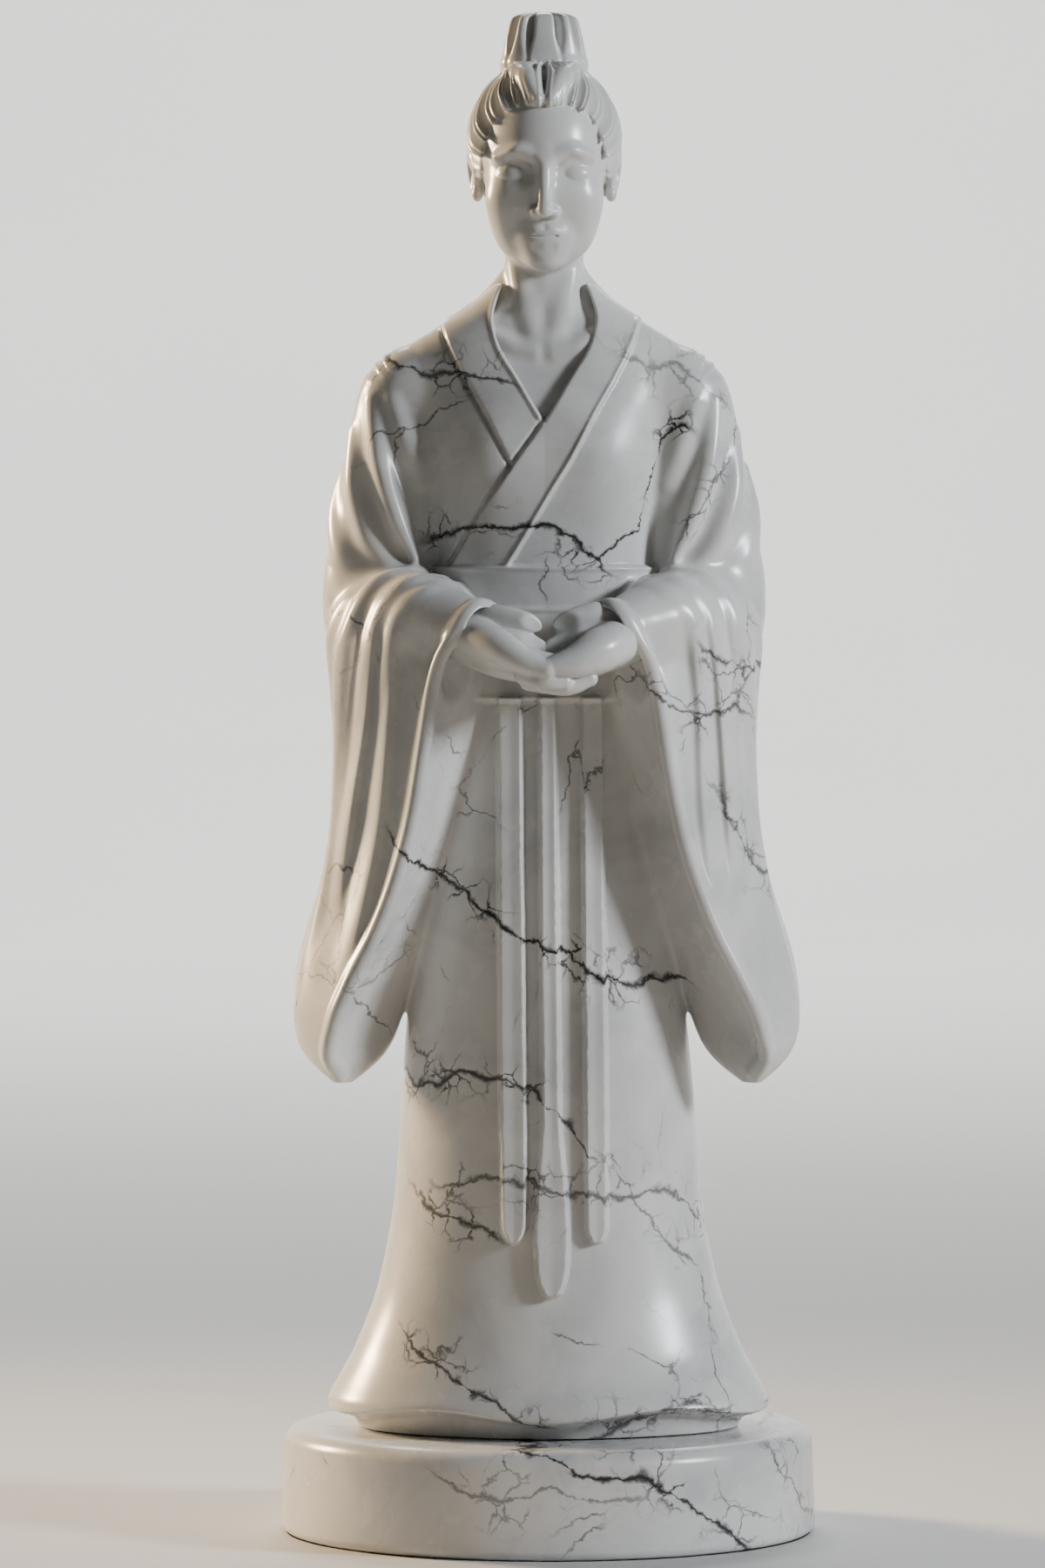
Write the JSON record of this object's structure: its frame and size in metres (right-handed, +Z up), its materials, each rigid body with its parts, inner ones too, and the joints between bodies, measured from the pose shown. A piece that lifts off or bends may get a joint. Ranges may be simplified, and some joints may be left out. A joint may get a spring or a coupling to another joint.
{
  "type": "goddess figurine",
  "caption": "Polished marble statuette of a standing woman in a crossed, wide-sleeved robe with cupped hands at her waist, fixed on a low round plinth.",
  "frame": {"origin": "middle of the plinth's underside", "axes": "+Z up, the figure faces -Y, +X towards the figure's left hand"},
  "size_m": [0.1058, 0.1058, 0.3003],
  "materials": {
    "figure": "polished white marble with thin dark veins in the robe and plain head, neck and hands",
    "plinth": "polished white marble with thin dark veins"
  },
  "bodies": {
    "root": {"figure": "figure", "plinth": "plinth"}
  },
  "joints": []
}
